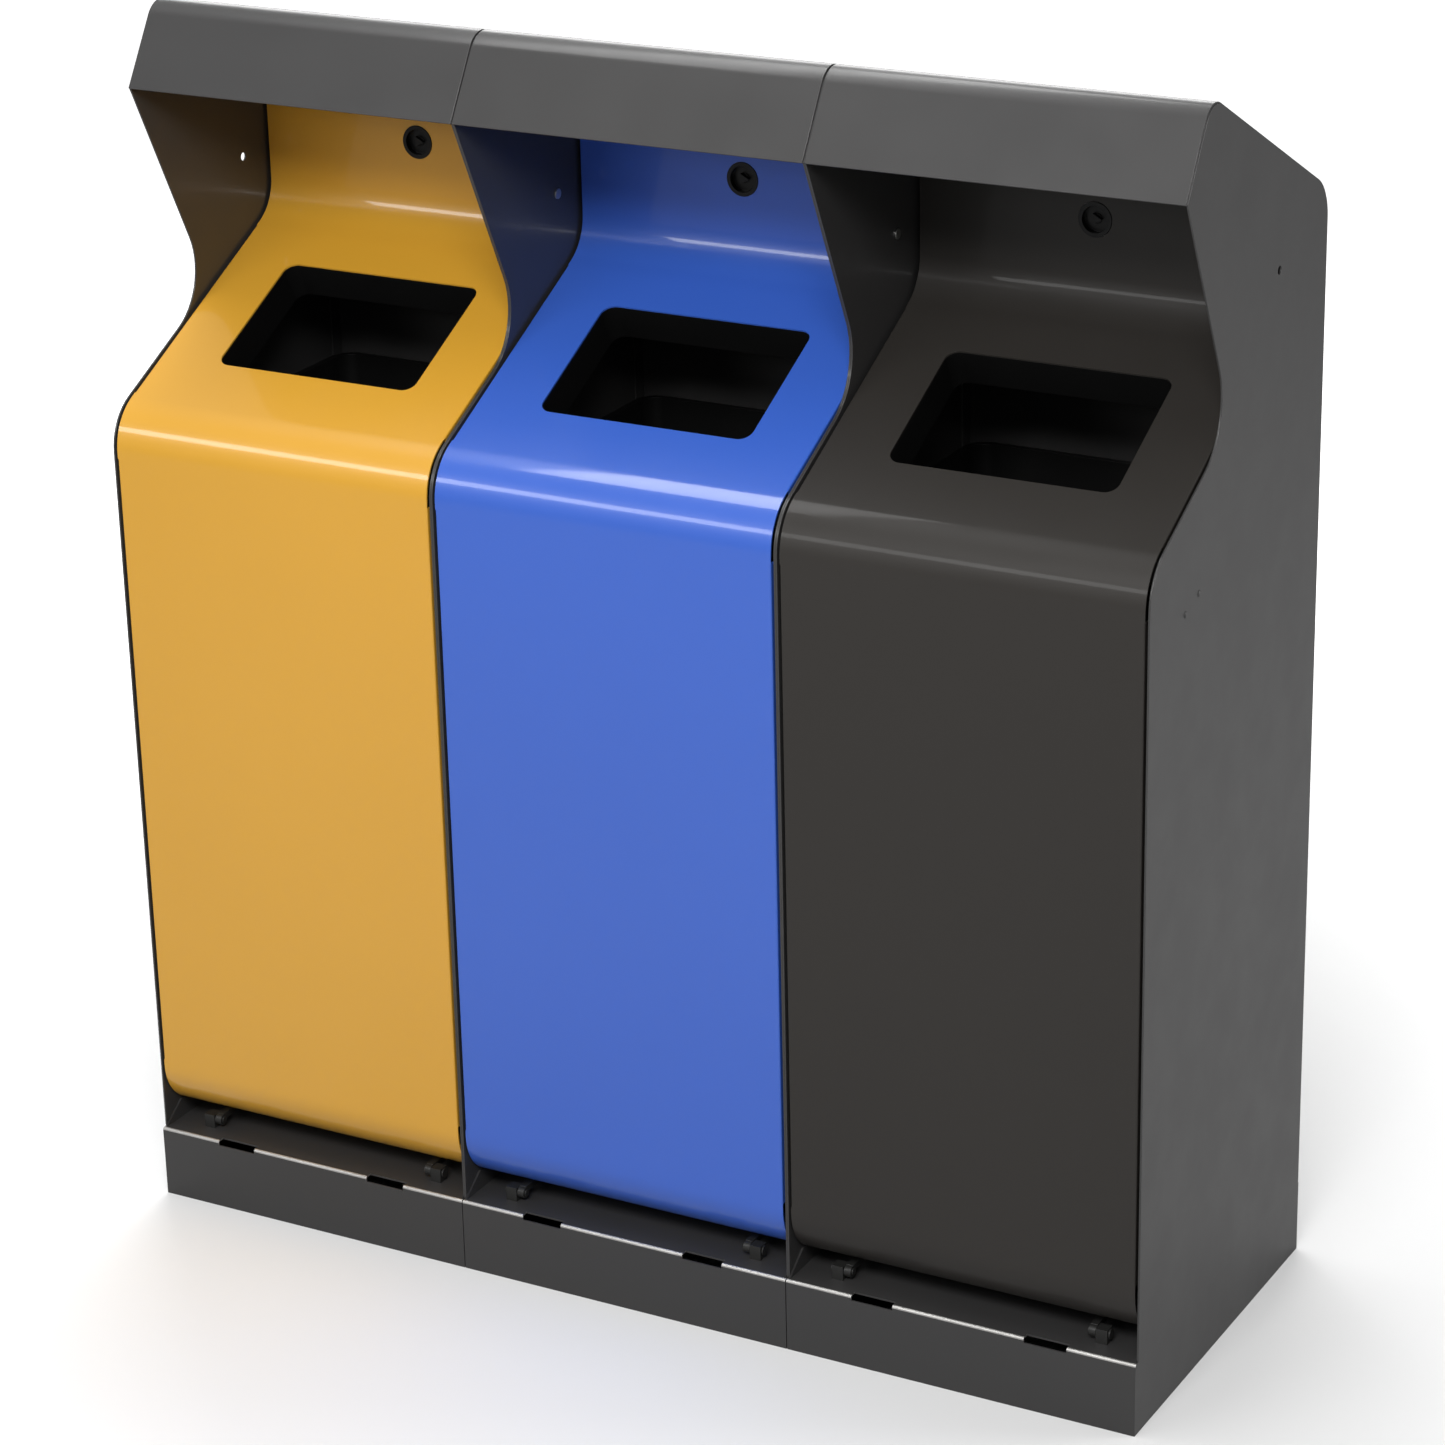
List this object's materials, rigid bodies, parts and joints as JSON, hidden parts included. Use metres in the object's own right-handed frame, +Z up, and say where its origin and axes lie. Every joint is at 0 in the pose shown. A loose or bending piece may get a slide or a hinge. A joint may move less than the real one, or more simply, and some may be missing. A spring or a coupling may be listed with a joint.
{
  "type": "recycling bin station",
  "caption": "Free-standing recycling station in folded sheet steel with tilting S-shaped front doors under a shared rain canopy, waste apertures and inner liners.",
  "frame": {"origin": "centre of the footprint, on the ground", "axes": "+Z up, the doors face -Y, +X to the right seen from the front"},
  "size_m": [1.2028, 0.445, 1.348],
  "materials": {
    "grey_powder": "satin powder coat",
    "yellow_powder": "gloss powder coat",
    "blue_powder": "gloss powder coat",
    "charcoal_powder": "satin powder coat",
    "black_sheet": "semi-gloss black",
    "lock_black": "black glass-filled nylon",
    "dark_steel": "blackened steel",
    "zinc": "bright zinc plate",
    "rubber": "black rubber"
  },
  "bodies": {
    "station": {"left_bay_plinth": "grey_powder", "left_bay_left_side": "grey_powder", "left_bay_right_side": "grey_powder", "left_bay_canopy": "grey_powder", "left_bay_back_panel": "grey_powder", "left_bay_latch_rail": "grey_powder", "left_bay_hinge_blocks": "dark_steel", "left_bay_hinge_pins": "dark_steel", "left_bay_door_buffers": "rubber", "left_bay_liner_guides": "grey_powder", "middle_bay_plinth": "grey_powder", "middle_bay_left_side": "grey_powder", "middle_bay_right_side": "grey_powder", "middle_bay_canopy": "grey_powder", "middle_bay_back_panel": "grey_powder", "middle_bay_latch_rail": "grey_powder", "middle_bay_hinge_blocks": "dark_steel", "middle_bay_hinge_pins": "dark_steel", "middle_bay_door_buffers": "rubber", "middle_bay_liner_guides": "grey_powder", "right_bay_plinth": "grey_powder", "right_bay_left_side": "grey_powder", "right_bay_right_side": "grey_powder", "right_bay_canopy": "grey_powder", "right_bay_back_panel": "grey_powder", "right_bay_latch_rail": "grey_powder", "right_bay_hinge_blocks": "dark_steel", "right_bay_hinge_pins": "dark_steel", "right_bay_door_buffers": "rubber", "right_bay_liner_guides": "grey_powder", "joining_bolts": "zinc", "joining_nuts": "zinc", "side_rivets": "grey_powder"},
    "left_bay_door_leaf": {"left_bay_door": "yellow_powder", "left_bay_chute": "black_sheet", "left_bay_lock_body": "lock_black", "left_bay_lock_nut": "zinc", "left_bay_hinge_lugs": "dark_steel"},
    "left_bay_cam_and_spindle": {"left_bay_lock_spindle": "lock_black", "left_bay_lock_cam": "zinc"},
    "left_bay_liner_bin": {"left_bay_liner": "black_sheet"},
    "middle_bay_door_leaf": {"middle_bay_door": "blue_powder", "middle_bay_chute": "black_sheet", "middle_bay_lock_body": "lock_black", "middle_bay_lock_nut": "zinc", "middle_bay_hinge_lugs": "dark_steel"},
    "middle_bay_cam_and_spindle": {"middle_bay_lock_spindle": "lock_black", "middle_bay_lock_cam": "zinc"},
    "middle_bay_liner_bin": {"middle_bay_liner": "black_sheet"},
    "right_bay_door_leaf": {"right_bay_door": "charcoal_powder", "right_bay_chute": "black_sheet", "right_bay_lock_body": "lock_black", "right_bay_lock_nut": "zinc", "right_bay_hinge_lugs": "dark_steel"},
    "right_bay_cam_and_spindle": {"right_bay_lock_spindle": "lock_black", "right_bay_lock_cam": "zinc"},
    "right_bay_liner_bin": {"right_bay_liner": "black_sheet"}
  },
  "joints": [
    {"name": "left_bay_door_tilt", "type": "hinge", "parent": "station", "child": "left_bay_door_leaf", "pos_m": [-0.4, -0.1915, 0.093], "axis": [1, 0, 0], "range_deg": [0, 70]},
    {"name": "left_bay_lock_turn", "type": "hinge", "parent": "left_bay_door_leaf", "child": "left_bay_cam_and_spindle", "pos_m": [-0.4, 0.099, 1.17177], "axis": [0, 1, 0], "range_deg": [0, 90]},
    {"name": "left_bay_liner_lift", "type": "slide", "parent": "station", "child": "left_bay_liner_bin", "axis": [0, 0, 1], "range_m": [0, 0.02]},
    {"name": "middle_bay_door_tilt", "type": "hinge", "parent": "station", "child": "middle_bay_door_leaf", "pos_m": [0, -0.1915, 0.093], "axis": [1, 0, 0], "range_deg": [0, 70]},
    {"name": "middle_bay_lock_turn", "type": "hinge", "parent": "middle_bay_door_leaf", "child": "middle_bay_cam_and_spindle", "pos_m": [0, 0.099, 1.17177], "axis": [0, 1, 0], "range_deg": [0, 90]},
    {"name": "middle_bay_liner_lift", "type": "slide", "parent": "station", "child": "middle_bay_liner_bin", "axis": [0, 0, 1], "range_m": [0, 0.02]},
    {"name": "right_bay_door_tilt", "type": "hinge", "parent": "station", "child": "right_bay_door_leaf", "pos_m": [0.4, -0.1915, 0.093], "axis": [1, 0, 0], "range_deg": [0, 70]},
    {"name": "right_bay_lock_turn", "type": "hinge", "parent": "right_bay_door_leaf", "child": "right_bay_cam_and_spindle", "pos_m": [0.4, 0.099, 1.17177], "axis": [0, 1, 0], "range_deg": [0, 90]},
    {"name": "right_bay_liner_lift", "type": "slide", "parent": "station", "child": "right_bay_liner_bin", "axis": [0, 0, 1], "range_m": [0, 0.02]}
  ]
}
